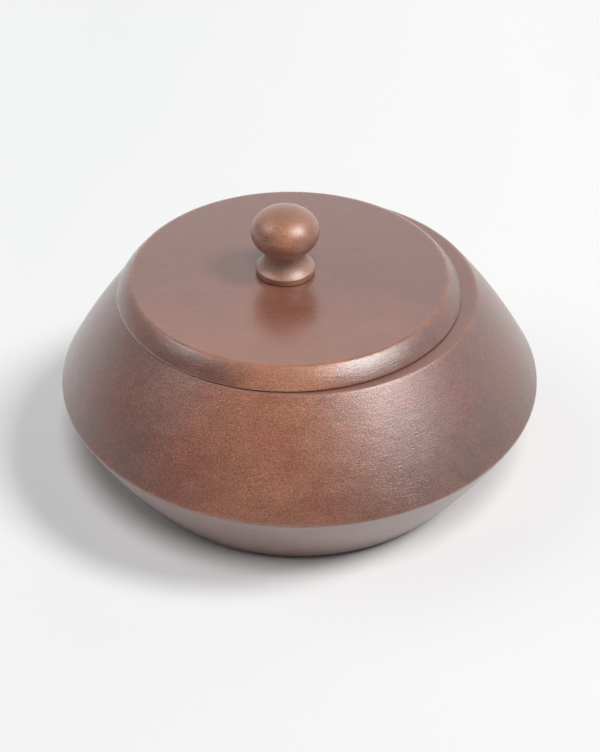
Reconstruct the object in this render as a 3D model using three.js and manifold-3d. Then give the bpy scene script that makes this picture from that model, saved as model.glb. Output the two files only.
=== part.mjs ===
import * as THREE from 'three';
import { mergeVertices } from 'three/addons/utils/BufferGeometryUtils.js';
import Module from 'manifold-3d';

// Lidded wooden bowl, turned on a lathe. Millimetres, +Z up, standing on its base at the origin.

// Bowl: two gently bulging cones that meet in a crisp belly
const baseRadius = 79.7;
const baseRound = 1.2;
const lowerHeight = 42.3;
const lowerBulge = 1;
const bellyRadius = 105;
const bellyRound = 1.2;
const upperHeight = 41.1;
const upperBulge = 1.3;
const rimRadius = 75.5;
const rimRound = 1.1;

// Inside of the bowl: the same two cones, one wall further in
const wallThickness = 8.5;
const floorThickness = 10;
const mouthRound = 0.8;
const innerBellyRound = 14;
const innerFloorRound = 11;

// Lid: a disc with a domed bevel, and a step below it that drops into the mouth
const lidThickness = 7.9;
const lidRadius = 73.3;
const lidBevelWidth = 6.5;
const lidBevelBulge = 0.5;
const lidTopRound = 1;
const lidLowerRound = 0.9;
const lidStepDepth = 6;
const lidStepRound = 0.8;

// How the lid lies: its step has play in the mouth and is pushed to one side of it
const seatGap = 0.2;
const lidPlay = 4.75;
const stepGap = 0.3;
const lidPushDegrees = 198.4;

// Knob: a short foot, a cove up to the neck and a flattened ball that is fuller below
const footRadius = 12.5;
const footRound = 0.4;
const footWall = 2.6;
const creaseRound = 0.35;
const coveHeight = 6.5;
const coveBulge = 0.9;
const neckRadius = 8.7;
const neckLength = 1.6;
const ballRadius = 14.25;
const ballLowerHalf = 11;
const ballUpperHalf = 10.2;
const knobOffset = [-1.7, -0.45];

// Knob screw: a countersunk wood screw, up through the lid's centre
const screwHeadRadius = 4;
const screwHeadLand = 0.4;
const screwHeadCone = 2;
const screwCoreRadius = 1.4;
const threadDepth = 0.6;
const threadPitch = 2;
const threadLength = 14;
const screwBite = 16.5;
const screwTipLength = 3.5;
const screwSink = 0.4;
const screwGap = 0.3;
const recessAcross = 4.4;
const recessSlot = 0.9;
const recessDepth = 1.6;

// How finely the round forms are divided
const bodySides = 72;
const knobSides = 48;
const screwSides = 24;
const coneSteps = 5;
const roundSteps = 3;
const hollowRoundSteps = 6;
const ballSteps = 9;
const rowsPerThread = 4;

const { Manifold, Mesh: SolidMesh } = await loadSolids();

async function loadSolids() {
  const library = await Module();
  library.setup();
  return library;
}

// Heights that more than one piece needs
const rimHeight = lowerHeight + upperHeight;
const lidSeat = rimHeight + seatGap;
const lidTop = lidSeat + lidThickness;
const lidUnderside = lidSeat - lidStepDepth;
const knobSeat = lidTop + seatGap;
const screwStart = lidUnderside + screwSink;
const screwLength = knobSeat - screwStart + screwBite;
const shankRadius = screwCoreRadius + threadDepth;

// A corner of a turned outline: where it is, how far its rounding reaches back along each side,
// and how far the stretch that leaves it bulges out from the straight
function corner(radius, height, round = 0, bulge = 0) {
  return { at: new THREE.Vector2(radius, height), round, bulge, steps: roundSteps };
}

function softCorner(radius, height, round, bulge = 0) {
  return { ...corner(radius, height, round, bulge), steps: hollowRoundSteps };
}

// The curve between two corners: a parabola that stands out from the chord by the bulge
function stretch(from, to) {
  const chord = to.at.clone().sub(from.at);
  const outward = new THREE.Vector2(chord.y, -chord.x).normalize();
  const control = from.at.clone().add(to.at).multiplyScalar(0.5).addScaledVector(outward, 2 * from.bulge);
  return new THREE.QuadraticBezierCurve(from.at, control, to.at);
}

// The points of a turned outline, from its first corner to its last
function turnedOutline(corners) {
  const points = [corners[0].at];
  for (let i = 0; i < corners.length - 1; i += 1) {
    const from = corners[i];
    const to = corners[i + 1];
    const curve = stretch(from, to);
    const length = curve.getLength();
    const start = from.round / length;
    const end = 1 - to.round / length;
    const steps = from.bulge === 0 ? 1 : coneSteps;
    for (let step = from.round > 0 ? 0 : 1; step <= steps; step += 1) {
      points.push(curve.getPointAt(start + (end - start) * step / steps));
    }
    if (to.round > 0) {
      const next = stretch(to, corners[i + 2]);
      const leave = next.getPointAt(to.round / next.getLength());
      const rounding = new THREE.QuadraticBezierCurve(points.at(-1), to.at, leave);
      for (let step = 1; step < to.steps; step += 1) points.push(rounding.getPoint(step / to.steps));
    }
  }
  return points;
}

// A solid of revolution about +Z
function turned(points, sides) {
  return new THREE.LatheGeometry(points, sides).rotateX(Math.PI / 2);
}

// A geometry as a solid that can be cut, and back again
function toSolid(geometry) {
  const bare = geometry.clone();
  bare.deleteAttribute('normal');
  bare.deleteAttribute('uv');
  const merged = mergeVertices(bare);
  return new Manifold(new SolidMesh({
    numProp: 3,
    vertProperties: new Float32Array(merged.attributes.position.array),
    triVerts: new Uint32Array(merged.index.array),
  }));
}

function toGeometry(solid) {
  const { vertProperties, triVerts } = solid.getMesh();
  const geometry = new THREE.BufferGeometry();
  geometry.setAttribute('position', new THREE.BufferAttribute(new Float32Array(vertProperties), 3));
  geometry.setIndex(new THREE.BufferAttribute(new Uint32Array(triVerts), 1));
  geometry.computeVertexNormals();
  return geometry;
}

function cut(geometry, cutter) {
  return toGeometry(toSolid(geometry).subtract(toSolid(cutter)));
}

// How far to move in, level, from a sloping side so that the wall is as thick as asked, square to it
function levelWall(radiusChange, height) {
  return wallThickness * Math.hypot(radiusChange, height) / height;
}

// Bowl
const upperSlope = (rimRadius - bellyRadius) / upperHeight;
const lowerSlope = (bellyRadius - baseRadius) / lowerHeight;
const mouthRadius = rimRadius - levelWall(bellyRadius - rimRadius, upperHeight);
const innerBaseRadius = baseRadius - levelWall(bellyRadius - baseRadius, lowerHeight);
const innerBellyHeight = (mouthRadius - upperSlope * rimHeight - innerBaseRadius) / (lowerSlope - upperSlope);
const innerBellyRadius = innerBaseRadius + lowerSlope * innerBellyHeight;

function bowlGeometry() {
  const floorRadius = innerBaseRadius + lowerSlope * floorThickness;
  return turned(turnedOutline([
    corner(0, 0),
    corner(baseRadius, 0, baseRound, lowerBulge),
    corner(bellyRadius, lowerHeight, bellyRound, upperBulge),
    corner(rimRadius, rimHeight, rimRound),
    corner(mouthRadius, rimHeight, mouthRound, -upperBulge),
    softCorner(innerBellyRadius, innerBellyHeight, innerBellyRound, -lowerBulge),
    softCorner(floorRadius, floorThickness, innerFloorRound),
    corner(0, floorThickness),
  ]), bodySides);
}

// Lid, in its own axis
function lidGeometry() {
  const stepRadius = mouthRadius - lidPlay;
  const disc = turned(turnedOutline([
    corner(0, lidUnderside),
    corner(stepRadius, lidUnderside, lidStepRound),
    corner(stepRadius, lidSeat),
    corner(lidRadius, lidSeat, lidLowerRound, lidBevelBulge),
    corner(lidRadius - lidBevelWidth, lidTop, lidTopRound),
    corner(0, lidTop),
  ]), bodySides);
  return cut(disc, screwHole().translate(knobOffset[0], knobOffset[1], 0));
}

// Knob, in its own axis
function knobGeometry() {
  const coveTop = knobSeat + footWall + coveHeight;
  const foot = turnedOutline([
    corner(0, knobSeat),
    corner(footRadius, knobSeat, footRound),
    corner(footRadius, knobSeat + footWall, creaseRound, -coveBulge),
    corner(neckRadius, coveTop),
  ]);
  const neckTurn = Math.acos(neckRadius / ballRadius);
  const ballCentre = coveTop + neckLength + ballLowerHalf * Math.sin(neckTurn);
  const ballLower = ballArc(-ballLowerHalf, ballCentre, neckTurn, 0);
  const ballUpper = ballArc(ballUpperHalf, ballCentre, 0, Math.PI / 2).slice(1);
  return cut(turned([...foot, ...ballLower, ...ballUpper], knobSides), screwHole());
}

function ballArc(halfHeight, centreHeight, fromTurn, toTurn) {
  return Array.from({ length: ballSteps + 1 }, (_, step) => {
    const turn = THREE.MathUtils.lerp(fromTurn, toTurn, step / ballSteps);
    const radius = turn === Math.PI / 2 ? 0 : ballRadius * Math.cos(turn);
    return new THREE.Vector2(radius, centreHeight + halfHeight * Math.sin(turn));
  });
}

// Screw outline: flat head, cone, plain shank, threaded core and point
function screwGeometry() {
  const shankStart = screwStart + screwHeadLand + screwHeadCone;
  const tip = screwStart + screwLength;
  const threadEnd = tip - screwTipLength;
  const threadStart = threadEnd - threadLength;
  const rows = Math.round(rowsPerThread * threadLength / threadPitch);
  const outline = [
    new THREE.Vector2(0, screwStart),
    new THREE.Vector2(screwHeadRadius, screwStart),
    new THREE.Vector2(screwHeadRadius, screwStart + screwHeadLand),
    new THREE.Vector2(shankRadius, shankStart),
    new THREE.Vector2(shankRadius, threadStart - threadDepth),
  ];
  for (let row = 0; row <= rows; row += 1) {
    outline.push(new THREE.Vector2(screwCoreRadius, threadStart + threadLength * row / rows));
  }
  outline.push(new THREE.Vector2(0, tip));
  const body = turned(outline, screwSides);
  raiseThread(body, threadStart, threadEnd);
  return cut(body, crossRecess());
}

// The thread: the core swells to its full radius along a helix, and dies out at both ends
function raiseThread(geometry, threadStart, threadEnd) {
  const position = geometry.attributes.position;
  for (let i = 0; i < position.count; i += 1) {
    const [x, y, z] = [position.getX(i), position.getY(i), position.getZ(i)];
    if (z <= threadStart || z >= threadEnd) continue;
    const turns = (z - threadStart) / threadPitch - Math.atan2(y, x) / (2 * Math.PI);
    const ridge = Math.max(0, Math.cos(2 * Math.PI * turns));
    const swell = 1 + ridge * threadDepth / screwCoreRadius;
    position.setXYZ(i, x * swell, y * swell, z);
  }
}

// A cross for the screwdriver, sunk into the head's face
function crossRecess() {
  const half = recessAcross / 2;
  const slot = recessSlot / 2;
  const cross = new THREE.Shape([
    [slot, slot], [half, slot], [half, -slot], [slot, -slot], [slot, -half], [-slot, -half],
    [-slot, -slot], [-half, -slot], [-half, slot], [-slot, slot], [-slot, half], [slot, half],
  ].map(([x, y]) => new THREE.Vector2(x, y)));
  const depth = recessDepth + screwSink;
  const solid = new THREE.ExtrudeGeometry(cross, { depth, bevelEnabled: false });
  return solid.translate(0, 0, screwStart + recessDepth - depth);
}

// The hole for the screw, clear of it all round and open below
function screwHole() {
  const mouth = screwStart - screwSink - screwGap;
  const headRadius = screwHeadRadius + screwGap;
  const holeRadius = shankRadius + screwGap;
  const coneStart = screwStart + screwHeadLand + screwGap;
  const coneEnd = coneStart + headRadius - holeRadius;
  const end = screwStart + screwLength + screwGap;
  return turned([
    new THREE.Vector2(0, mouth),
    new THREE.Vector2(headRadius, mouth),
    new THREE.Vector2(headRadius, coneStart),
    new THREE.Vector2(holeRadius, coneEnd),
    new THREE.Vector2(holeRadius, end - screwTipLength),
    new THREE.Vector2(screwGap, end),
    new THREE.Vector2(0, end),
  ], screwSides);
}

function piece(name, geometry, material) {
  const mesh = new THREE.Mesh(geometry, material);
  mesh.name = name;
  return mesh;
}

function stainedWood(color, roughness) {
  return new THREE.MeshStandardMaterial({ color, roughness, metalness: 0 });
}

const platedSteel = new THREE.MeshStandardMaterial({ color: '#b9b6ad', roughness: 0.35, metalness: 1 });

// The knob and its screw share an axis, and both lie with the lid
const knobGroup = new THREE.Group();
knobGroup.position.set(knobOffset[0], knobOffset[1], 0);
knobGroup.add(piece('knob', knobGeometry(), stainedWood('#9a5c40', 0.28)));
knobGroup.add(piece('knob_screw', screwGeometry(), platedSteel));

const lidPush = THREE.MathUtils.degToRad(lidPushDegrees);
const lidGroup = new THREE.Group();
lidGroup.position.x = (lidPlay - stepGap) * Math.cos(lidPush);
lidGroup.position.y = (lidPlay - stepGap) * Math.sin(lidPush);
lidGroup.add(piece('lid', lidGeometry(), stainedWood('#8a5f4f', 0.3)), knobGroup);

const liddedBowl = new THREE.Group();
liddedBowl.add(piece('bowl', bowlGeometry(), stainedWood('#80543f', 0.34)), lidGroup);

export default liddedBowl;
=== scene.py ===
import math

import bmesh
import bpy
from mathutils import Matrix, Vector, noise


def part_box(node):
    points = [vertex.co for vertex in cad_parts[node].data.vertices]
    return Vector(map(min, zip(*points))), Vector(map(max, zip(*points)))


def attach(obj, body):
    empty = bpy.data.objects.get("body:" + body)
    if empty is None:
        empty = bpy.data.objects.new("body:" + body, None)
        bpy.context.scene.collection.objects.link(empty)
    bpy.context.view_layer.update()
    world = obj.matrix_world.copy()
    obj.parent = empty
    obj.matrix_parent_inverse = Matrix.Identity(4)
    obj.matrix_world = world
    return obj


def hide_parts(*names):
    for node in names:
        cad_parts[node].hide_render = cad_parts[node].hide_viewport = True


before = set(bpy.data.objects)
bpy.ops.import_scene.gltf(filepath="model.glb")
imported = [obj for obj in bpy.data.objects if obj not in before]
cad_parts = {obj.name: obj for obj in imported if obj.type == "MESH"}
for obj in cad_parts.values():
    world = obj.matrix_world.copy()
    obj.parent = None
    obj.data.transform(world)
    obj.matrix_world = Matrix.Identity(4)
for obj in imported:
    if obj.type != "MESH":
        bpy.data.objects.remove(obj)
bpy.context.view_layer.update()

mm = 0.001         # m; lengths are in mm unless a comment says otherwise
tiny = 1e-4        # a length below this counts as nothing
standOut = 1.0     # how far a cutter stands out of the piece it cuts
pieces = {}


# Shapes: every wooden piece is turned, so it is an outline of corners swung round an axis


def addObject(name, data):
    added = bpy.data.objects.new(name, data)
    bpy.context.scene.collection.objects.link(added)
    return added


def pieceFrom(shape, name):
    # turns a finished bmesh into an object
    bmesh.ops.recalc_face_normals(shape, faces=shape.faces)
    mesh = bpy.data.meshes.new(name)
    shape.to_mesh(mesh)
    shape.free()
    return addObject(name, mesh)


def centreOf(node):
    # a CAD node's middle, seen from above
    low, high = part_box(node)
    return (low.xy + high.xy) / 2 / mm


def corner(radius, height, rounding=0.0, bulge=0.0, worn=True):
    # rounding: how far the rounded edge reaches back along each side
    # bulge: how far the stretch that leaves this corner stands out from the straight
    # worn: whether hands and cloths reach this edge and wear it
    return {"at": Vector((radius, height)), "rounding": rounding, "bulge": bulge, "worn": worn}


def stretchPoint(start, end, share):
    # a point on the parabola from one corner to the next
    chord = end["at"] - start["at"]
    outward = Vector((chord.y, -chord.x)).normalized()
    middle = (start["at"] + end["at"]) / 2 + outward * 2 * start["bulge"]
    return start["at"] * (1 - share) ** 2 + middle * 2 * share * (1 - share) + end["at"] * share ** 2


def turnedOutline(corners, stepLength):
    # rows crowd together towards the ends of each stretch, so that the edges shade crisply
    rows = [corners[0]["at"].copy()]
    for index in range(len(corners) - 1):
        start, end = corners[index], corners[index + 1]
        length = (end["at"] - start["at"]).length
        first = start["rounding"] / length
        last = 1 - end["rounding"] / length
        count = max(4, math.ceil(length / stepLength))
        for step in range(count + 1):
            eased = 0.5 - 0.5 * math.cos(math.pi * step / count)
            rows.append(stretchPoint(start, end, first + (last - first) * eased))
        if end["rounding"] > 0:
            after = corners[index + 2]
            arrive = rows[-1]
            leave = stretchPoint(end, after, end["rounding"] / (after["at"] - end["at"]).length)
            for step in range(1, roundRows):
                share = step / roundRows
                pull = end["at"] * 2 * share * (1 - share)
                rows.append(arrive * (1 - share) ** 2 + pull + leave * share ** 2)
    return withoutRepeats(rows)


def withoutRepeats(rows):
    kept = [rows[0]]
    for row in rows[1:]:
        if (row - kept[-1]).length > tiny:
            kept.append(row)
    return kept


roundRows = 6      # rows across one rounded edge
bodySides = 288    # divisions round the bowl and the lid
knobSides = 192    # and round the knob
screwSides = 64    # and round the screw and its hole


def turnedPiece(name, rows, sides, axis):
    # swings the outline round the upright axis through the point given
    shape = bmesh.new()
    rings = []
    for row in rows:
        if row.x < tiny:
            rings.append([shape.verts.new((axis.x * mm, axis.y * mm, row.y * mm))])
            continue
        ring = []
        for side in range(sides):
            turn = 2 * math.pi * side / sides
            x = axis.x + row.x * math.cos(turn)
            y = axis.y + row.x * math.sin(turn)
            ring.append(shape.verts.new((x * mm, y * mm, row.y * mm)))
        rings.append(ring)
    for lower, upper in zip(rings, rings[1:]):
        for side in range(sides):
            nextSide = (side + 1) % sides
            if len(lower) == 1:
                shape.faces.new((lower[0], upper[nextSide], upper[side]))
            elif len(upper) == 1:
                shape.faces.new((lower[side], lower[nextSide], upper[0]))
            else:
                shape.faces.new((lower[side], lower[nextSide], upper[nextSide], upper[side]))
    for face in shape.faces:
        face.smooth = True
    return pieceFrom(shape, name)


def cutAway(piece, cutter):
    # takes the cutter's shape out of the piece for good
    boolean = piece.modifiers.new("hole", "BOOLEAN")
    boolean.operation = "DIFFERENCE"
    boolean.solver = "EXACT"
    boolean.object = cutter
    depsgraph = bpy.context.evaluated_depsgraph_get()
    cutMesh = bpy.data.meshes.new_from_object(piece.evaluated_get(depsgraph))
    piece.modifiers.clear()
    piece.data = cutMesh
    bpy.data.objects.remove(cutter)


def markEdges(piece, corners, axis, reach):
    # stores how near each point lies to a worn edge, for the material to read
    edges = [spot["at"] for spot in corners if spot["rounding"] > 0 and spot["worn"]]
    wear = piece.data.attributes.new("edgeWear", "FLOAT", "POINT")
    for index, vertex in enumerate(piece.data.vertices):
        radius = (vertex.co.xy / mm - axis).length
        here = Vector((radius, vertex.co.z / mm))
        nearest = min((here - edge).length for edge in edges)
        wear.data[index].value = math.exp(-(nearest / reach) ** 2)


# Bowl: two gently bulging cones that meet in a crisp belly, hollowed with the same two slopes

bowl = {
    "baseRadius": 79.7,
    "baseRound": 3.0,
    "lowerHeight": 42.3,
    "lowerBulge": 1.0,
    "bellyRadius": 104.98,     # a hair less than the solid's, to stay inside it
    "bellyRound": 1.2,
    "upperHeight": 41.1,
    "upperBulge": 1.3,
    "rimRadius": 75.5,
    "rimRound": 1.1,
    "wallThickness": 8.5,
    "floorThickness": 10.0,
    "mouthRound": 0.8,
    "innerBellyRound": 14.0,
    "innerFloorRound": 11.0,
    "rowLength": 1.6,
    "wearReach": 1.3,
}
rimHeight = bowl["lowerHeight"] + bowl["upperHeight"]


def levelWall(radiusChange, height):
    # how far to move in, level, from a sloping side to make the wall as thick as asked
    return bowl["wallThickness"] * math.hypot(radiusChange, height) / height


upperRun = bowl["bellyRadius"] - bowl["rimRadius"]
lowerRun = bowl["bellyRadius"] - bowl["baseRadius"]
mouthRadius = bowl["rimRadius"] - levelWall(upperRun, bowl["upperHeight"])
innerBaseRadius = bowl["baseRadius"] - levelWall(lowerRun, bowl["lowerHeight"])


def bowlCorners():
    upperSlope = -upperRun / bowl["upperHeight"]
    lowerSlope = lowerRun / bowl["lowerHeight"]
    # where the two slopes meet inside
    innerHeight = (mouthRadius - upperSlope * rimHeight - innerBaseRadius) / (lowerSlope - upperSlope)
    innerRadius = innerBaseRadius + lowerSlope * innerHeight
    floorRadius = innerBaseRadius + lowerSlope * bowl["floorThickness"]
    return [
        corner(0, 0),
        corner(bowl["baseRadius"], 0, bowl["baseRound"], bowl["lowerBulge"]),
        corner(bowl["bellyRadius"], bowl["lowerHeight"], bowl["bellyRound"], bowl["upperBulge"]),
        corner(bowl["rimRadius"], rimHeight, bowl["rimRound"]),
        corner(mouthRadius, rimHeight, bowl["mouthRound"], -bowl["upperBulge"]),
        corner(innerRadius, innerHeight, bowl["innerBellyRound"], -bowl["lowerBulge"], worn=False),
        corner(floorRadius, bowl["floorThickness"], bowl["innerFloorRound"], worn=False),
        corner(0, bowl["floorThickness"]),
    ]


bowlAxis = centreOf("bowl")
bowlRows = turnedOutline(bowlCorners(), bowl["rowLength"])
pieces["bowl"] = turnedPiece("bowlTurning", bowlRows, bodySides, bowlAxis)
markEdges(pieces["bowl"], bowlCorners(), bowlAxis, bowl["wearReach"])
print("bowl turned:", len(pieces["bowl"].data.vertices), "points")


# Screw: a countersunk wood screw that holds the knob from below, in zinc-plated steel

screw = {
    "headRadius": 4.0,
    "headLand": 0.4,       # the upright rim of the head
    "headCone": 2.0,
    "headEdgeWidth": 0.15,
    "headEdgeHeight": 0.12,
    "coreRadius": 1.4,
    "threadDepth": 0.6,
    "threadPitch": 2.0,
    "threadLength": 14.0,
    "tipLength": 3.5,
    "gap": 0.3,          # what the CAD leaves free all round it
    "sink": 0.4,         # how far its head lies up inside the lid
    "rowsPerTurn": 12,
    "recessAcross": 4.4,
    "recessSlot": 0.9,
    "recessDepth": 1.6,
    "recessTaper": 0.45,   # the size of its floor against its mouth
}
screwAxis = centreOf("knob_screw")
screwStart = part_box("knob_screw")[0].z / mm
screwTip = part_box("knob_screw")[1].z / mm
shankRadius = screw["coreRadius"] + screw["threadDepth"]


def screwHole(withHead):
    # the hole for the screw, clear of it all round
    headRadius = screw["headRadius"] + screw["gap"]
    holeRadius = shankRadius + screw["gap"]
    coneStart = screwStart + screw["headLand"] + screw["gap"]
    end = screwTip + screw["gap"]
    rows = [Vector((holeRadius, end - screw["tipLength"])), Vector((screw["gap"], end)), Vector((0, end))]
    if withHead:
        below = screwStart - screw["sink"] - standOut
        rows = [
            Vector((0, below)),
            Vector((headRadius, below)),
            Vector((headRadius, coneStart)),
            Vector((holeRadius, coneStart + headRadius - holeRadius)),
        ] + rows
    return rows


def threadSwell(point, threadStart, threadEnd):
    # the core grows to its full radius along a helix, which fades in and out at its ends
    height = point.z / mm
    if not threadStart < height < threadEnd:
        return 1
    around = math.atan2(point.y / mm - screwAxis.y, point.x / mm - screwAxis.x) / (2 * math.pi)
    turnsUp = (height - threadStart) / screw["threadPitch"]
    turnsLeft = (threadEnd - height) / screw["threadPitch"]
    ridge = max(0, math.cos(2 * math.pi * (turnsUp - around))) ** 2
    fade = min(1, turnsUp, turnsLeft)
    return 1 + ridge * fade * screw["threadDepth"] / screw["coreRadius"]


def recessCutter():
    # a cross for the screwdriver, narrowing towards its floor
    shape = bmesh.new()
    top = screwStart + screw["recessDepth"]
    bottom = screwStart - standOut
    half = screw["recessAcross"] / 2
    slot = screw["recessSlot"] / 2
    outline = [
        (slot, slot), (half, slot), (half, -slot), (slot, -slot), (slot, -half), (-slot, -half),
        (-slot, -slot), (-half, -slot), (-half, slot), (-slot, slot), (-slot, half), (slot, half),
    ]
    rings = []
    for height, size in ((bottom, 1.0), (screwStart, 1.0), (top, screw["recessTaper"])):
        rings.append([
            shape.verts.new(((screwAxis.x + x * size) * mm, (screwAxis.y + y * size) * mm, height * mm))
            for x, y in outline
        ])
    for lower, upper in zip(rings, rings[1:]):
        for index in range(len(outline)):
            after = (index + 1) % len(outline)
            shape.faces.new((lower[index], lower[after], upper[after], upper[index]))
    shape.faces.new(rings[0])
    shape.faces.new(rings[-1])
    return pieceFrom(shape, "recessCutter")


def makeScrew():
    threadEnd = screwTip - screw["tipLength"]
    threadStart = threadEnd - screw["threadLength"]
    coneEnd = screwStart + screw["headLand"] + screw["headCone"]
    rows = [
        Vector((0, screwStart)),
        Vector((screw["headRadius"] - screw["headEdgeWidth"], screwStart)),
        Vector((screw["headRadius"], screwStart + screw["headEdgeHeight"])),
        Vector((screw["headRadius"], screwStart + screw["headLand"])),
        Vector((shankRadius, coneEnd)),
        Vector((shankRadius, threadStart - screw["threadDepth"])),
    ]
    count = round(screw["rowsPerTurn"] * screw["threadLength"] / screw["threadPitch"])
    for row in range(count + 1):
        rows.append(Vector((screw["coreRadius"], threadStart + screw["threadLength"] * row / count)))
    rows.append(Vector((0, screwTip)))
    piece = turnedPiece("knobScrew", rows, screwSides, screwAxis)
    for vertex in piece.data.vertices:
        swell = threadSwell(vertex.co, threadStart, threadEnd)
        vertex.co.x = screwAxis.x * mm + (vertex.co.x - screwAxis.x * mm) * swell
        vertex.co.y = screwAxis.y * mm + (vertex.co.y - screwAxis.y * mm) * swell
    cutAway(piece, recessCutter())
    return piece


pieces["knob_screw"] = makeScrew()
print("screw made:", len(pieces["knob_screw"].data.vertices), "points")


# Lid: a disc with a domed bevel, and a step below it that drops loosely into the mouth

lid = {
    "radius": 73.3,
    "bevelWidth": 6.5,
    "bevelBulge": 0.5,
    "topRound": 1.0,
    "lowerRound": 0.9,
    "stepPlay": 4.75,     # how much smaller the step is than the mouth
    "stepDepth": 6.0,
    "stepRound": 0.8,
    "rowLength": 1.6,
    "wearReach": 1.1,
}
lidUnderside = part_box("lid")[0].z / mm
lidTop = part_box("lid")[1].z / mm
lidAxis = centreOf("lid")


def lidCorners():
    seat = lidUnderside + lid["stepDepth"]
    stepRadius = mouthRadius - lid["stepPlay"]
    return [
        corner(0, lidUnderside),
        corner(stepRadius, lidUnderside, lid["stepRound"]),
        corner(stepRadius, seat),
        corner(lid["radius"], seat, lid["lowerRound"], lid["bevelBulge"]),
        corner(lid["radius"] - lid["bevelWidth"], lidTop, lid["topRound"]),
        corner(0, lidTop),
    ]


lidRows = turnedOutline(lidCorners(), lid["rowLength"])
pieces["lid"] = turnedPiece("lidTurning", lidRows, bodySides, lidAxis)
cutAway(pieces["lid"], turnedPiece("holeCutter", screwHole(True), screwSides, screwAxis))
markEdges(pieces["lid"], lidCorners(), lidAxis, lid["wearReach"])
print("lid turned:", len(pieces["lid"].data.vertices), "points")


# Knob: a short foot, a cove up to the neck, and a flattened ball that is fuller below

knob = {
    "footRadius": 12.5,
    "footRound": 0.4,
    "footWall": 2.6,
    "creaseRound": 0.35,
    "coveHeight": 6.5,
    "coveBulge": 0.9,
    "neckRadius": 8.7,
    "neckLength": 1.6,
    "ballRadius": 14.25,
    "ballLowerHalf": 11.0,
    "ballUpperHalf": 10.2,
    "ballRows": 40,
    "rowLength": 0.5,
    "wearReach": 0.8,
    "coveShadeFade": 5.0,       # mm above the neck over which the painted cove shade and sheen fade out
}
# a small dent with two torn lines, on the ball's left side towards the front
dent = {
    "turn": -124.6,        # degrees round the knob, from the right
    "height": 113.4,       # mm above the table
    "length": 1.9,
    "width": 0.9,
    "depth": 0.24,
    "reach": 4.0,          # mm from its middle at which it has faded out
    "raggedness": 0.5,
    "raggedAlong": 3.0,    # how quickly it changes along the dent
    "raggedUp": 5.0,       # and across it
    "tearWidth": 0.32,
    "tearLines": (-0.3, 1.0),     # mm up from the dent's middle
    "tearSlant": 0.1,
}
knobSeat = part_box("knob")[0].z / mm
knobAxis = centreOf("knob")


def ballRows(halfHeight, centreHeight, fromTurn, toTurn):
    rows = []
    for step in range(knob["ballRows"] + 1):
        turn = fromTurn + (toTurn - fromTurn) * step / knob["ballRows"]
        height = centreHeight + halfHeight * math.sin(turn)
        rows.append(Vector((knob["ballRadius"] * math.cos(turn), height)))
    return rows


def knobFootCorners():
    return [
        corner(shankRadius + screw["gap"], knobSeat),
        corner(knob["footRadius"], knobSeat, knob["footRound"]),
        corner(knob["footRadius"], knobSeat + knob["footWall"], knob["creaseRound"], -knob["coveBulge"]),
        corner(knob["neckRadius"], knobSeat + knob["footWall"] + knob["coveHeight"]),
    ]


def knobRows():
    neckTurn = math.acos(knob["neckRadius"] / knob["ballRadius"])
    coveTop = knobSeat + knob["footWall"] + knob["coveHeight"]
    ballCentre = coveTop + knob["neckLength"] + knob["ballLowerHalf"] * math.sin(neckTurn)
    foot = turnedOutline(knobFootCorners(), knob["rowLength"])
    lower = ballRows(knob["ballLowerHalf"], ballCentre, -neckTurn, 0)
    upper = ballRows(knob["ballUpperHalf"], ballCentre, 0, math.pi / 2)[1:]
    hole = screwHole(False)
    return hole[::-1] + foot + lower + upper


def pressDent(piece):
    # pushes the dent in, and stores its torn lines for the material to read
    turn = math.radians(dent["turn"])
    tear = piece.data.attributes.new("tornGrain", "FLOAT", "POINT")
    for index, vertex in enumerate(piece.data.vertices):
        offset = vertex.co.xy / mm - knobAxis
        around = math.atan2(offset.y, offset.x) - turn
        along = around * knob["ballRadius"]
        up = vertex.co.z / mm - dent["height"]
        if offset.length < knob["neckRadius"] or abs(along) > dent["reach"] or abs(up) > dent["reach"]:
            continue
        spot = Vector((along * dent["raggedAlong"], up * dent["raggedUp"], 0))
        ragged = 1 + dent["raggedness"] * noise.noise(spot)
        reach = math.exp(-(along / dent["length"]) ** 2)
        press = dent["depth"] * ragged * reach * math.exp(-(up / dent["width"]) ** 2)
        inward = offset.normalized() * press * mm
        vertex.co.x -= inward.x
        vertex.co.y -= inward.y
        slant = dent["tearSlant"] * along
        lines = [math.exp(-((up - line - slant) / dent["tearWidth"]) ** 2) for line in dent["tearLines"]]
        tear.data[index].value = reach * max(lines)


def markCoveShade(piece):
    # stores where the knob gets painted shade and a painted greyish sheen: from the crease of the foot to
    # the underside of the ball
    crease = knobSeat + knob["footWall"]
    neckTop = crease + knob["coveHeight"] + knob["neckLength"]
    coveShadeAndSheen = piece.data.attributes.new("paintedCoveShade", "FLOAT", "POINT")
    for index, vertex in enumerate(piece.data.vertices):
        height = vertex.co.z / mm
        aboveCrease = (height - crease) / knob["creaseRound"]
        aboveNeck = (height - neckTop) / knob["coveShadeFade"]
        coveShadeAndSheen.data[index].value = min(1, max(0, aboveCrease)) * min(1, max(0, 1 - aboveNeck))


pieces["knob"] = turnedPiece("knobTurning", knobRows(), knobSides, knobAxis)
markEdges(pieces["knob"], knobFootCorners(), knobAxis, knob["wearReach"])
markCoveShade(pieces["knob"])
pressDent(pieces["knob"])
print("knob turned:", len(pieces["knob"].data.vertices), "points")


# Materials


def linear(hexColour):
    # sRGB hex to the linear colour that nodes work in
    channels = [int(hexColour[place:place + 2], 16) / 255 for place in (1, 3, 5)]
    return tuple(c / 12.92 if c <= 0.04045 else ((c + 0.055) / 1.055) ** 2.4 for c in channels) + (1.0,)


def addNode(tree, kind, inputs=None, **settings):
    # adds one node; an input is a value for its socket, or another node's socket to link to it.
    # Sockets go by name, or by number on nodes that have several of one name.
    node = tree.nodes.new("ShaderNode" + kind)
    for name, value in settings.items():
        setattr(node, name, value)
    for socket, value in (inputs or {}).items():
        if isinstance(value, bpy.types.NodeSocket):
            tree.links.new(value, node.inputs[socket])
        else:
            node.inputs[socket].default_value = value
    return node


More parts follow.
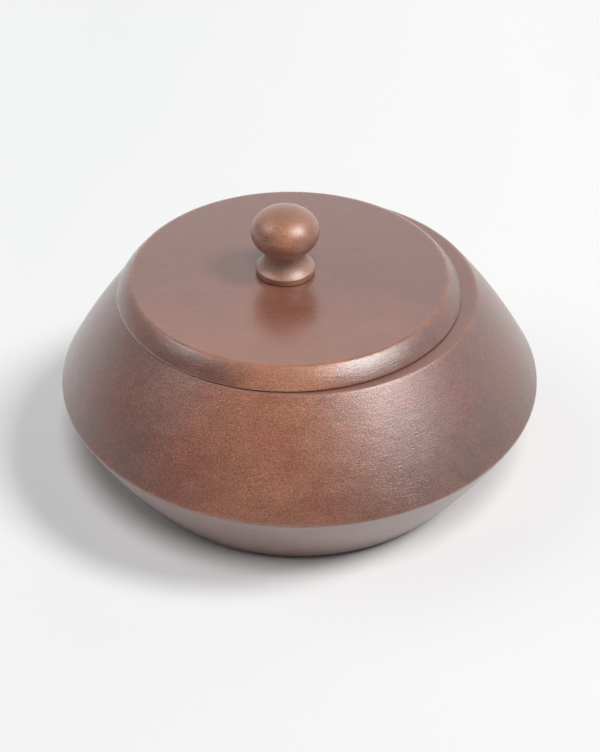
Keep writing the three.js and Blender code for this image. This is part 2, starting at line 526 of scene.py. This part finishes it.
def newMaterial(name):
    material = bpy.data.materials.new(name)
    material.use_nodes = True
    tree = material.node_tree
    tree.nodes.clear()
    output = addNode(tree, "OutputMaterial")
    return material, tree, output


# Stained beech under satin lacquer: close, nearly poreless wood, turned and sanded smooth.
# The stain levels the figure to a warm red-brown, soaks in darker where the fibres end in the surface,
# and thins to orange on the edges. The lacquer film gives a soft sheen with a faint orange peel.

woodFigure = {
    "fleckLength": 0.7,      # mm, along the fibres
    "fleckWidth": 0.38,      # mm; the real ones are 0.1 to 0.3, drawn wider so that they show
    "darkFlecks": 0.44,      # how strong the dark flecks are against the pale ones
    "waveSize": 16.0,        # mm between the bends of the fibres
    "waveDepth": 1.6,        # mm that they bend sideways
    "mottleSize": 6.0,       # mm across one patch of stain
    "mottleStretch": 0.6,    # drawn out along the fibres
    "cloudSize": 30.0,       # mm across the broad tints
    "redCloudFineness": 1.4,  # how much finer the redder ones are
    "redCloudShift": (-245.0, 31.0, 180.0),  # mm, so that they lie apart from the tints
    "turningLength": 6.0,    # mm along one mark that the gouge and sandpaper leave
    "turningPitch": 0.75,    # mm from one mark to the next
    "turningWander": 3.0,    # mm that the marks stray from true circles
    "peelSize": 0.85,        # mm across one dimple of the lacquer's orange peel
    "bellyDarkHeight": 29.0,   # mm above the belly over which the bowl darkens towards it
    "levelFrom": 0.80,       # upward part of the surface's direction where a face starts to be level
    "levelTo": 0.98,
    "levelTint": 0.9,        # how far level faces take their darker tone, which is painted shade
    "glossier": 0.04,        # how far the roughness falls in some patches
    "duller": 0.05,          # and rises in others
    "lacquerIor": 1.54,      # typical of a clear lacquer
    "seedStep": (17, 29, 41),     # mm that one step of the seed moves the patterns
}
# where the lid's level top turns warmer, in mm about its axis. How far back a point lies, a share of how
# far it lies to the side, and the clouds, from 0 to wander, are added up: a small sum is warm.
warmZone = {
    "middle": -12.0,         # its centre line, left of the axis
    "narrowing": 0.55,       # the share that draws it in at the sides
    "wander": 90.0,
    "from": 72.0,            # the sum at which it starts
    "full": -10.0,           # and at which it is fully warm
}

bowlLook = {
    "name": "stainedBeechBowl",
    "light": "#a0684e",          # the two tones of the stain
    "dark": "#935e48",
    "red": "#924b3d",            # its redder clouds
    "flat": "#6e443a",           # level faces, painted darker as painted shade
    "flatWarm": "#6e443a",       # and their warmer zone
    "under": "#804c3f",          # faces that look down, painted darker as painted shade
    "endGrain": "#603c35",       # where the fibres end in the surface
    "endGrainRed": "#6b3c30",
    "worn": "#a06c50",           # rubbed edges
    "coveShadeAndSheen": "#a07868",           # painted shade and sheen in the knob's cove
    "fibreDegrees": -6.0,        # the way the fibres run, seen from above
    "tilt": 3.0,                 # degrees that they dip
    "pith": (0.0, -60.0, -95.0),     # mm from the patterns' origin
    "ringWidth": 5.5,            # mm
    "ringStrength": 0.04,
    "fleckStrength": 0.72,
    "flatFleckShare": 0.3,       # how much of it is left on level faces
    "cloudStrength": 0.6,
    "endGrainFrom": 0.0,         # how squarely fibres meet the surface: from here it darkens
    "endGrainTo": 0.66,          # and here it is full end grain
    "endGrainStrength": 0.95,
    "endGrainFlecks": 0.7,       # how much more the flecks show there
    "underStrength": 0.9,
    "bellyShade": 0.75,          # how dark it is at the belly
    "coveShadeStrength": 0.85,
    "tearShade": 0.25,           # how dark the dirt is in torn grain
    "mottleShade": 0.14,
    "wearStrength": 0.3,
    "roughness": 0.38,           # of the wood's own surface
    "specular": 0.5,
    "coatRoughness": 0.3,        # of the lacquer
    "levelSmoothness": 0.05,     # how much smoother the wood is on level faces
    "fibreBump": 0.09,           # mm, as the next two
    "turningBump": 0.09,
    "peelBump": 0.068,
    "seed": 3.0,
}

# the lid is sanded finer and lacquered smoother than the bowl
lidLook = {
    **bowlLook,
    "name": "stainedBeechLid",
    "light": "#ae765b",
    "dark": "#a16b53",
    "red": "#a1644d",
    "flat": "#6e453c",
    "flatWarm": "#8a5a4a",
    "endGrain": "#603c34",
    "endGrainRed": "#673c30",
    "worn": "#b0704a",
    "fibreDegrees": 0.0,
    "pith": (0.0, 40.0, -60.0),
    "ringWidth": 7.0,
    "ringStrength": 0.03,
    "fleckStrength": 0.6,
    "flatFleckShare": 0.2,
    "cloudStrength": 0.3,
    "endGrainFrom": 0.08,
    "endGrainTo": 0.34,
    "endGrainFlecks": 0.2,
    "bellyShade": 1.0,
    "wearStrength": 0.4,
    "coatRoughness": 0.2,
    "levelSmoothness": 0.12,
    "fibreBump": 0.075,
    "turningBump": 0.08,
    "peelBump": 0.04,
    "seed": 11.0,
}

# the knob is of paler, warmer wood with a duller lacquer
knobLook = {
    **bowlLook,
    "name": "stainedBeechKnob",
    "light": "#ae7656",
    "dark": "#a46d4f",
    "red": "#975a42",
    "flat": "#865744",
    "flatWarm": "#865744",
    "under": "#8e5f50",
    "endGrain": "#8f5f4b",
    "endGrainRed": "#8a5541",
    "endGrainFlecks": 0.1,
    "worn": "#a8714f",
    "fibreDegrees": 10.0,
    "pith": (0.0, 30.0, 30.0),
    "ringWidth": 2.6,
    "ringStrength": 0.05,
    "fleckStrength": 0.58,
    "flatFleckShare": 0.6,
    "cloudStrength": 0.2,
    "bellyShade": 1.0,
    "specular": 0.40,
    "coatRoughness": 0.41,
    "levelSmoothness": 0.0,
    "fibreBump": 0.05,
    "turningBump": 0.03,
    "peelBump": 0.03,
    "seed": 23.0,
}


def stainTones(tree, grain, look):
    # two tones of stain in broad tints and small patches, with redder clouds over them; every noise
    # here stays near 0.5, so the ranges that read it set how strong its contrast is
    cloud = addNode(tree, "TexNoise", {
        "Vector": grain,
        "Scale": 1 / woodFigure["cloudSize"],
        "Detail": 3.0,
        "Roughness": 0.55,
    }).outputs["Fac"]
    drawnOut = addNode(tree, "VectorMath", {
        0: grain, 1: (woodFigure["mottleStretch"], 1.0, 1.0),
    }, operation="MULTIPLY").outputs[0]
    mottle = addNode(tree, "TexNoise", {
        "Vector": drawnOut,
        "Scale": 1 / woodFigure["mottleSize"],
        "Detail": 4.0,
        "Roughness": 0.6,
    }).outputs["Fac"]
    both = addNode(tree, "Math", {0: cloud, 1: mottle}, operation="ADD").outputs[0]
    stain = addNode(tree, "MapRange", {
        "Value": both, "From Min": 0.75, "From Max": 1.25,
    }, interpolation_type="SMOOTHSTEP").outputs[0]
    tones = addNode(tree, "Mix", {
        0: stain, 6: linear(look["dark"]), 7: linear(look["light"]),
    }, data_type="RGBA").outputs[2]
    shifted = addNode(tree, "VectorMath", {
        0: grain, 1: woodFigure["redCloudShift"],
    }, operation="ADD").outputs[0]
    redNoise = addNode(tree, "TexNoise", {
        "Vector": shifted,
        "Scale": woodFigure["redCloudFineness"] / woodFigure["cloudSize"],
        "Detail": 4.0,
        "Roughness": 0.62,
    }).outputs["Fac"]
    redShare = addNode(tree, "MapRange", {
        "Value": redNoise, "From Min": 0.48, "From Max": 0.72, "To Max": look["cloudStrength"],
    }).outputs[0]
    colour = addNode(tree, "Mix", {
        0: redShare, 6: tones, 7: linear(look["red"]),
    }, data_type="RGBA").outputs[2]
    return colour, cloud, mottle, redNoise


def levelTone(tree, split, cloud, look):
    # level faces turn warmer towards the middle of the front, where the board's paler zone lies
    shifted = addNode(tree, "Math", {
        0: split.outputs["X"], 1: -warmZone["middle"],
    }, operation="ADD").outputs[0]
    aside = addNode(tree, "Math", {0: shifted}, operation="ABSOLUTE").outputs[0]
    warmSide = addNode(tree, "Math", {
        0: aside, 1: warmZone["narrowing"], 2: split.outputs["Y"],
    }, operation="MULTIPLY_ADD").outputs[0]
    wander = addNode(tree, "Math", {
        0: cloud, 1: warmZone["wander"], 2: warmSide,
    }, operation="MULTIPLY_ADD").outputs[0]
    warmShare = addNode(tree, "MapRange", {
        "Value": wander, "From Min": warmZone["from"], "From Max": warmZone["full"],
    }, interpolation_type="SMOOTHSTEP").outputs[0]
    return addNode(tree, "Mix", {
        0: warmShare, 6: linear(look["flat"]), 7: linear(look["flatWarm"]),
    }, data_type="RGBA").outputs[2]


def growthRings(tree, grain, look):
    # arcs round a pith that ran beside the blank; at scale 1 the wave's rings lie pi / 10 apart
    ringPlace = addNode(tree, "VectorMath", {0: grain, 1: look["pith"]}, operation="SUBTRACT").outputs[0]
    rings = addNode(tree, "TexWave", {
        "Vector": ringPlace,
        "Scale": math.pi / 10 / look["ringWidth"],
        "Distortion": 5.0,
        "Detail": 2.0,
        "Detail Scale": 0.35,
        "Detail Roughness": 0.6,
    }, wave_type="RINGS", rings_direction="X", wave_profile="SAW").outputs["Fac"]
    return addNode(tree, "MapRange", {
        "Value": rings, "To Min": 1 + look["ringStrength"] / 2, "To Max": 1 - look["ringStrength"] / 2,
    }).outputs[0]


def fibreFlecks(tree, grain, bend):
    # short dashes along the fibres, which show as dots where the fibres end
    bentGrain = addNode(tree, "VectorMath", {
        0: bend, 1: (0.0, 2 * woodFigure["waveDepth"], 2 * woodFigure["waveDepth"]), 2: grain,
    }, operation="MULTIPLY_ADD").outputs[0]
    fleckPlace = addNode(tree, "VectorMath", {
        0: bentGrain,
        1: (1 / woodFigure["fleckLength"], 1 / woodFigure["fleckWidth"], 1 / woodFigure["fleckWidth"]),
    }, operation="MULTIPLY").outputs[0]
    return addNode(tree, "TexNoise", {
        "Vector": fleckPlace, "Scale": 1.0, "Detail": 2.0, "Roughness": 0.7,
    }).outputs["Fac"]


def endGrainShare(tree, normal, mottle, look):
    # how squarely the fibres meet the surface, a little uneven from patch to patch
    fibre = addNode(tree, "VectorRotate", {
        "Vector": normal, "Angle": -math.radians(look["fibreDegrees"]),
    }, rotation_type="Z_AXIS").outputs[0]
    facing = addNode(tree, "SeparateXYZ", {0: fibre}).outputs["X"]
    across = addNode(tree, "Math", {0: facing}, operation="ABSOLUTE").outputs[0]
    share = addNode(tree, "MapRange", {
        "Value": across,
        "From Min": look["endGrainFrom"],
        "From Max": look["endGrainTo"],
        "To Max": look["endGrainStrength"],
    }, interpolation_type="SMOOTHSTEP").outputs[0]
    thinned = addNode(tree, "MapRange", {
        "Value": mottle, "From Min": 0.3, "From Max": 0.6, "To Min": 1.0, "To Max": 0.9,
    }).outputs[0]
    return addNode(tree, "Math", {0: share, 1: thinned}, operation="MULTIPLY").outputs[0]


def rubbedEdges(tree, mottle, look):
    # how far the edges are rubbed thin, unevenly along their length
    edge = addNode(tree, "Attribute", attribute_name="edgeWear").outputs["Fac"]
    uneven = addNode(tree, "MapRange", {
        "Value": mottle, "From Min": 0.35, "From Max": 0.6, "To Min": 0.2, "To Max": 1.0,
    }).outputs[0]
    rubbed = addNode(tree, "Math", {0: edge, 1: uneven}, operation="MULTIPLY").outputs[0]
    return addNode(tree, "Math", {0: rubbed, 1: look["wearStrength"]}, operation="MULTIPLY").outputs[0]


def turningMarks(tree, split, bend, mottle):
    # fine rings about the lathe's axis, broken up along their length
    squareX = addNode(tree, "Math", {0: split.outputs["X"], 1: 2.0}, operation="POWER").outputs[0]
    squareY = addNode(tree, "Math", {0: split.outputs["Y"], 1: 2.0}, operation="POWER").outputs[0]
    square = addNode(tree, "Math", {0: squareX, 1: squareY}, operation="ADD").outputs[0]
    radius = addNode(tree, "Math", {0: square}, operation="SQRT").outputs[0]
    inward = addNode(tree, "Math", {0: split.outputs["Z"], 1: radius}, operation="SUBTRACT").outputs[0]
    stray = addNode(tree, "SeparateXYZ", {0: bend}).outputs["X"]
    bentInward = addNode(tree, "Math", {
        0: stray, 1: woodFigure["turningWander"], 2: inward,
    }, operation="MULTIPLY_ADD").outputs[0]
    markSteps = addNode(tree, "CombineXYZ", {
        "X": split.outputs["X"], "Y": split.outputs["Y"], "Z": bentInward,
    }).outputs[0]
    markPlace = addNode(tree, "VectorMath", {
        0: markSteps,
        1: (woodFigure["turningLength"], woodFigure["turningLength"], woodFigure["turningPitch"]),
    }, operation="DIVIDE").outputs[0]
    marks = addNode(tree, "TexNoise", {"Vector": markPlace, "Scale": 1.0, "Detail": 2.0}).outputs["Fac"]
    patches = addNode(tree, "MapRange", {"Value": mottle, "From Min": 0.3, "From Max": 0.65}).outputs[0]
    return addNode(tree, "Math", {0: marks, 1: patches}, operation="MULTIPLY").outputs[0]


def stainedBeech(look, axis):
    material, tree, output = newMaterial(look["name"])
    place = addNode(tree, "TexCoord")

    # the same point in mm, with X along the fibres
    grain = addNode(tree, "Mapping", {
        "Vector": place.outputs["Object"],
        "Scale": (1 / mm, 1 / mm, 1 / mm),
        "Rotation": (0.0, math.radians(look["tilt"]), -math.radians(look["fibreDegrees"])),
        "Location": tuple(look["seed"] * step for step in woodFigure["seedStep"]),
    }).outputs[0]
    # and in mm about the turning axis
    turned = addNode(tree, "Mapping", {
        "Vector": place.outputs["Object"],
        "Scale": (1 / mm, 1 / mm, 1 / mm),
        "Location": (-axis.x, -axis.y, 0.0),
    }).outputs[0]
    split = addNode(tree, "SeparateXYZ", {0: turned})
    # which way the fibres and the turning marks stray
    bend = addNode(tree, "TexNoise", {
        "Vector": grain, "Scale": 1 / woodFigure["waveSize"], "Detail": 1.0,
    }).outputs["Color"]

    colour, cloud, mottle, redNoise = stainTones(tree, grain, look)

    # painted shade: level faces are painted in a darker, more even tone than the slanting ones
    upward = addNode(tree, "SeparateXYZ", {0: place.outputs["Normal"]}).outputs["Z"]
    levelness = addNode(tree, "Math", {0: upward}, operation="ABSOLUTE").outputs[0]
    levelShare = addNode(tree, "MapRange", {
        "Value": levelness,
        "From Min": woodFigure["levelFrom"],
        "From Max": woodFigure["levelTo"],
        "To Max": woodFigure["levelTint"],
    }).outputs[0]
    colour = addNode(tree, "Mix", {
        0: levelShare, 6: colour, 7: levelTone(tree, split, cloud, look),
    }, data_type="RGBA").outputs[2]

    # end grain drinks the stain and turns darker
    endShare = endGrainShare(tree, place.outputs["Normal"], mottle, look)
    endRed = addNode(tree, "MapRange", {"Value": redNoise, "From Min": 0.42, "From Max": 0.62}).outputs[0]
    endColour = addNode(tree, "Mix", {
        0: endRed, 6: linear(look["endGrain"]), 7: linear(look["endGrainRed"]),
    }, data_type="RGBA").outputs[2]
    colour = addNode(tree, "Mix", {0: endShare, 6: colour, 7: endColour}, data_type="RGBA").outputs[2]

    # the flecks show more there, and less on the level faces, which are sanded the smoothest
    openness = addNode(tree, "MapRange", {
        "Value": levelness,
        "From Min": woodFigure["levelFrom"],
        "From Max": woodFigure["levelTo"],
        "To Min": 1.0,
        "To Max": look["flatFleckShare"],
    }).outputs[0]
    flecks = fibreFlecks(tree, grain, bend)
    fleckLift = addNode(tree, "MapRange", {
        "Value": flecks,
        "From Min": 0.40,
        "From Max": 0.70,
        "To Min": -woodFigure["darkFlecks"] * look["fleckStrength"],
        "To Max": look["fleckStrength"],
    }).outputs[0]
    fleckShow = addNode(tree, "Math", {
        0: endShare, 1: look["endGrainFlecks"], 2: openness,
    }, operation="MULTIPLY_ADD").outputs[0]
    fleckShade = addNode(tree, "Math", {
        0: fleckLift, 1: fleckShow, 2: 1.0,
    }, operation="MULTIPLY_ADD").outputs[0]
    shade = addNode(tree, "Math", {
        0: growthRings(tree, grain, look), 1: fleckShade,
    }, operation="MULTIPLY").outputs[0]

    # painted shade: faces that look down are painted darker
    undersideShade = addNode(tree, "MapRange", {
        "Value": upward, "From Min": 0.25, "From Max": -0.45, "To Max": look["underStrength"],
    }).outputs[0]
    colour = addNode(tree, "Mix", {
        0: undersideShade, 6: colour, 7: linear(look["under"]),
    }, data_type="RGBA").outputs[2]
    # the bowl darkens towards its belly; the lid and the knob lie above that
    bellyDarkening = addNode(tree, "MapRange", {
        "Value": split.outputs["Z"],
        "From Min": bowl["lowerHeight"],
        "From Max": bowl["lowerHeight"] + woodFigure["bellyDarkHeight"],
        "To Min": look["bellyShade"],
        "To Max": 1.0,
    }).outputs[0]
    shade = addNode(tree, "Math", {0: shade, 1: bellyDarkening}, operation="MULTIPLY").outputs[0]
    # patches of thinner and thicker stain
    patchy = addNode(tree, "MapRange", {
        "Value": mottle, "To Min": 1 - look["mottleShade"] / 2, "To Max": 1 + look["mottleShade"] / 2,
    }).outputs[0]
    shade = addNode(tree, "Math", {0: shade, 1: patchy}, operation="MULTIPLY").outputs[0]
    # painted shade and a painted greyish sheen in the knob's cove, under the ball
    coveShadeAndSheen = addNode(tree, "Attribute", attribute_name="paintedCoveShade").outputs["Fac"]
    coveShaded = addNode(tree, "Math", {0: coveShadeAndSheen, 1: look["coveShadeStrength"]}, operation="MULTIPLY").outputs[0]
    colour = addNode(tree, "Mix", {
        0: coveShaded, 6: colour, 7: linear(look["coveShadeAndSheen"]),
    }, data_type="RGBA").outputs[2]
    # dirt in the torn grain of the knob's dent
    tear = addNode(tree, "Attribute", attribute_name="tornGrain").outputs["Fac"]
    dirty = addNode(tree, "MapRange", {
        "Value": tear, "To Min": 1.0, "To Max": look["tearShade"],
    }).outputs[0]
    shade = addNode(tree, "Math", {0: shade, 1: dirty}, operation="MULTIPLY").outputs[0]
    colour = addNode(tree, "VectorMath", {0: colour, "Scale": shade}, operation="SCALE").outputs[0]
    # worn edges come last, since the rubbing took the stain and its shades away
    colour = addNode(tree, "Mix", {
        0: rubbedEdges(tree, mottle, look), 6: colour, 7: linear(look["worn"]),
    }, data_type="RGBA").outputs[2]

    # relief: turning marks and fibres in the wood, orange peel in the lacquer
    turnedBump = addNode(tree, "Bump", {
        "Height": turningMarks(tree, split, bend, mottle),
        "Strength": openness,
        "Distance": look["turningBump"] * mm,
    })
    woodBump = addNode(tree, "Bump", {
        "Height": flecks,
        "Strength": openness,
        "Distance": look["fibreBump"] * mm,
        "Normal": turnedBump.outputs[0],
    })
    peel = addNode(tree, "TexNoise", {
        "Vector": grain, "Scale": 1 / woodFigure["peelSize"], "Detail": 2.0, "Roughness": 0.55,
    }).outputs["Fac"]
    lacquerBump = addNode(tree, "Bump", {
        "Height": peel,
        "Strength": openness,
        "Distance": look["peelBump"] * mm,
        "Normal": woodBump.outputs[0],
    })

    # duller in the paler patches, smoother on the level faces
    patchRoughness = addNode(tree, "MapRange", {
        "Value": mottle,
        "From Min": 0.35,
        "From Max": 0.65,
        "To Min": look["roughness"] - woodFigure["glossier"],
        "To Max": look["roughness"] + woodFigure["duller"],
    }).outputs[0]
    smoother = addNode(tree, "Math", {
        0: levelShare, 1: look["levelSmoothness"],
    }, operation="MULTIPLY").outputs[0]
    roughness = addNode(tree, "Math", {0: patchRoughness, 1: smoother}, operation="SUBTRACT").outputs[0]
    shader = addNode(tree, "BsdfPrincipled", {
        "Base Color": colour,
        "Roughness": roughness,
        "IOR": woodFigure["lacquerIor"],
        "Specular IOR Level": look["specular"],
        "Coat Weight": 1.0,
        "Coat Roughness": look["coatRoughness"],
        "Coat IOR": woodFigure["lacquerIor"],
        "Normal": woodBump.outputs[0],
        "Coat Normal": lacquerBump.outputs[0],
    })
    tree.links.new(shader.outputs[0], output.inputs["Surface"])
    return material


# Zinc-plated steel: a turned and rolled wood screw, bright grey with faint milky spots from the plating.

steelLook = {
    "bright": "#c9c7bf",
    "milky": "#a9a79c",
    "spotSize": 0.9,        # mm
    "grooveSize": 0.25,     # mm between the marks of the rolling dies
    "grooveStretch": 0.2,   # drawn out round the screw
    "roughness": 0.34,
    "brighter": 0.06,       # how far the roughness falls where the plating is bright
    "milkier": 0.1,         # and rises where it is milky
    "grooveBump": 0.01,     # mm
}


def platedSteel():
    material, tree, output = newMaterial("zincPlatedSteel")
    place = addNode(tree, "TexCoord")
    inMm = addNode(tree, "Mapping", {
        "Vector": place.outputs["Object"], "Scale": (1 / mm, 1 / mm, 1 / mm),
    }).outputs[0]
    spots = addNode(tree, "TexNoise", {
        "Vector": inMm, "Scale": 1 / steelLook["spotSize"], "Detail": 3.0, "Roughness": 0.6,
    }).outputs["Fac"]
    milkyShare = addNode(tree, "MapRange", {"Value": spots, "From Min": 0.35, "From Max": 0.7}).outputs[0]
    colour = addNode(tree, "Mix", {
        0: milkyShare, 6: linear(steelLook["bright"]), 7: linear(steelLook["milky"]),
    }, data_type="RGBA").outputs[2]
    drawnOut = addNode(tree, "VectorMath", {
        0: inMm, 1: (steelLook["grooveStretch"], steelLook["grooveStretch"], 1.0),
    }, operation="MULTIPLY").outputs[0]
    grooves = addNode(tree, "TexNoise", {
        "Vector": drawnOut, "Scale": 1 / steelLook["grooveSize"],
    }).outputs["Fac"]
    bump = addNode(tree, "Bump", {
        "Height": grooves, "Strength": 1.0, "Distance": steelLook["grooveBump"] * mm,
    })
    roughness = addNode(tree, "MapRange", {
        "Value": spots,
        "From Min": 0.3,
        "From Max": 0.7,
        "To Min": steelLook["roughness"] - steelLook["brighter"],
        "To Max": steelLook["roughness"] + steelLook["milkier"],
    }).outputs[0]
    shader = addNode(tree, "BsdfPrincipled", {
        "Base Color": colour, "Metallic": 1.0, "Roughness": roughness, "Normal": bump.outputs[0],
    })
    tree.links.new(shader.outputs[0], output.inputs["Surface"])
    return material


finishes = {
    "bowl": (stainedBeech(bowlLook, bowlAxis), "bowl_wood", "bowl"),
    "lid": (stainedBeech(lidLook, lidAxis), "lid_wood", "lid"),
    "knob": (stainedBeech(knobLook, knobAxis), "knob_wood", "lid"),
    "knob_screw": (platedSteel(), "screw_steel", "lid"),
}
for node, (material, slot, body) in finishes.items():
    piece = pieces[node]
    piece.data.materials.clear()
    piece.data.materials.append(material)
    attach(piece, body)
    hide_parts(node)
print("pieces finished:", ", ".join(piece.name for piece in pieces.values()))


# Studio: a pale matt floor and soft lamps. The key stands to the right, a second lamp high in front,
# and weak ones behind and to the left. Two more light nothing but the sheen of the lacquer.

studio = {
    "floorSize": 14.0,       # m
    "floorLeft": "#e9eaea",
    "floorRight": "#f3f3f3",
    "floorTurnFrom": -0.12,  # m to the right, from where the floor's painted light turns from the left tone to the paler right one
    "floorTurnTo": 0.18,
    "floorPatch": 0.2,       # m across one uneven patch
    "floorUneven": 0.04,     # m that they push the turn about
    "floorRoughness": 0.4,
    "backgroundColour": "#f4f5f5",
    "ambientColour": "#ffffff",
    "ambientStrength": 0.06,
    "backdropSide": (0.5, 1.0, 0.0),     # where the white backdrop stands
    "sheenFrom": -0.5,       # along that way, from where the room brightens in the lacquer
    "sheenTo": 0.7,
    "sheenFront": 0.2,       # how bright it is there on the camera's side
    "sheenBack": 1.0,        # and towards the backdrop
}
lampDistance = 2.0           # m, only for where the lamps' symbols stand
# azimuth: degrees from the camera's side, positive to the right; strength in W/m2; spread: degrees across;
# sheen or fill: False takes a lamp out of the reflections, or off the surfaces themselves
lamps = {
    "keyLamp": {"azimuth": 80.0, "elevation": 50.0, "strength": 1.76, "spread": 18.0, "sheen": False},
    "keySheen": {"azimuth": 61.0, "elevation": 47.0, "strength": 2.95, "spread": 34.0, "fill": False},
    "frontLamp": {"azimuth": 8.0, "elevation": 65.0, "strength": 1.43, "spread": 20.0, "sheen": False},
    "backLamp": {"azimuth": 150.0, "elevation": 20.0, "strength": 0.45, "spread": 60.0, "sheen": False},
    "leftLamp": {"azimuth": -95.0, "elevation": 40.0, "strength": 0.56, "spread": 50.0, "sheen": False},
    "leftSheen": {"azimuth": -86.0, "elevation": 46.0, "strength": 0.62, "spread": 24.0, "fill": False},
}


def makeFloor():
    half = studio["floorSize"] / 2
    spots = [(-half, -half, 0), (half, -half, 0), (half, half, 0), (-half, half, 0)]
    mesh = bpy.data.meshes.new("floor")
    mesh.from_pydata(spots, [], [(0, 1, 2, 3)])
    addObject("floor", mesh)
    # a matt painted board, plain, with painted light: a little paler towards the key lamp, and with the
    # faintest unevenness
    material, tree, output = newMaterial("mattWhiteBoard")
    place = addNode(tree, "TexCoord").outputs["Object"]
    cloud = addNode(tree, "TexNoise", {
        "Vector": place, "Scale": 1 / studio["floorPatch"], "Detail": 2.0,
    }).outputs["Fac"]
    across = addNode(tree, "SeparateXYZ", {0: place}).outputs["X"]
    uneven = addNode(tree, "Math", {
        0: cloud, 1: studio["floorUneven"], 2: across,
    }, operation="MULTIPLY_ADD").outputs[0]
    paintedLightShare = addNode(tree, "MapRange", {
        "Value": uneven, "From Min": studio["floorTurnFrom"], "From Max": studio["floorTurnTo"],
    }).outputs[0]
    colour = addNode(tree, "Mix", {
        0: paintedLightShare, 6: linear(studio["floorLeft"]), 7: linear(studio["floorRight"]),
    }, data_type="RGBA").outputs[2]
    shader = addNode(tree, "BsdfDiffuse", {"Color": colour, "Roughness": studio["floorRoughness"]})
    tree.links.new(shader.outputs[0], output.inputs["Surface"])
    mesh.materials.append(material)


def towards(azimuth, elevation):
    # the direction from the bowl to a lamp
    turn = math.radians(azimuth)
    rise = math.radians(elevation)
    return Vector((math.cos(rise) * math.sin(turn), -math.cos(rise) * math.cos(turn), math.sin(rise)))


def makeLamps():
    for name, lamp in lamps.items():
        light = bpy.data.lights.new(name, "SUN")
        light.energy = lamp["strength"]
        light.angle = math.radians(lamp["spread"])
        holder = addObject(name, light)
        direction = towards(lamp["azimuth"], lamp["elevation"])
        holder.location = direction * lampDistance
        holder.rotation_euler = direction.to_track_quat("Z", "Y").to_euler()
        holder.visible_glossy = lamp.get("sheen", True)
        holder.visible_diffuse = lamp.get("fill", True)


def makeWorld():
    # camera rays see the white backdrop, glossy rays see it fade into the dimmer room in front,
    # and the rest get the room's soft level
    world = bpy.data.worlds.new("studioRoom")
    bpy.context.scene.world = world
    world.use_nodes = True
    tree = world.node_tree
    tree.nodes.clear()
    path = addNode(tree, "LightPath")
    around = addNode(tree, "TexCoord").outputs["Generated"]
    away = addNode(tree, "VectorMath", {
        0: around, 1: studio["backdropSide"],
    }, operation="DOT_PRODUCT").outputs["Value"]
    reflected = addNode(tree, "MapRange", {
        "Value": away,
        "From Min": studio["sheenFrom"],
        "From Max": studio["sheenTo"],
        "To Min": studio["sheenFront"],
        "To Max": studio["sheenBack"],
    }).outputs[0]
    mirrored = addNode(tree, "Math", {
        0: path.outputs["Is Glossy Ray"], 1: path.outputs["Is Transmission Ray"],
    }, operation="MAXIMUM").outputs[0]
    strength = addNode(tree, "Mix", {0: mirrored, 2: studio["ambientStrength"], 3: reflected}).outputs[0]
    room = addNode(tree, "Background", {"Color": linear(studio["ambientColour"]), "Strength": strength})
    white = addNode(tree, "Background", {"Color": linear(studio["backgroundColour"]), "Strength": 1.0})
    both = addNode(tree, "MixShader", {
        0: path.outputs["Is Camera Ray"], 1: room.outputs[0], 2: white.outputs[0],
    })
    output = addNode(tree, "OutputWorld")
    tree.links.new(both.outputs[0], output.inputs["Surface"])


camera = {
    "location": (0.0, -0.4557, 0.3859),     # m
    "pitch": 52.323,     # degrees up from looking straight down
    "turn": -0.025,
    "lens": 61.27,       # mm
    "sensor": 36.0,      # mm
    "nearest": 0.01,     # m, closer things aren't drawn
}


def makeCamera():
    data = bpy.data.cameras.new("camera")
    data.lens = camera["lens"]
    data.sensor_width = camera["sensor"]
    data.clip_start = camera["nearest"]
    holder = addObject("camera", data)
    holder.location = camera["location"]
    holder.rotation_euler = (math.radians(camera["pitch"]), 0.0, math.radians(camera["turn"]))
    bpy.context.scene.camera = holder


makeFloor()
makeLamps()
makeWorld()
makeCamera()
bpy.context.scene.view_settings.view_transform = "Standard"
print("studio set")


# the scene is brought up to date

bpy.context.view_layer.update()
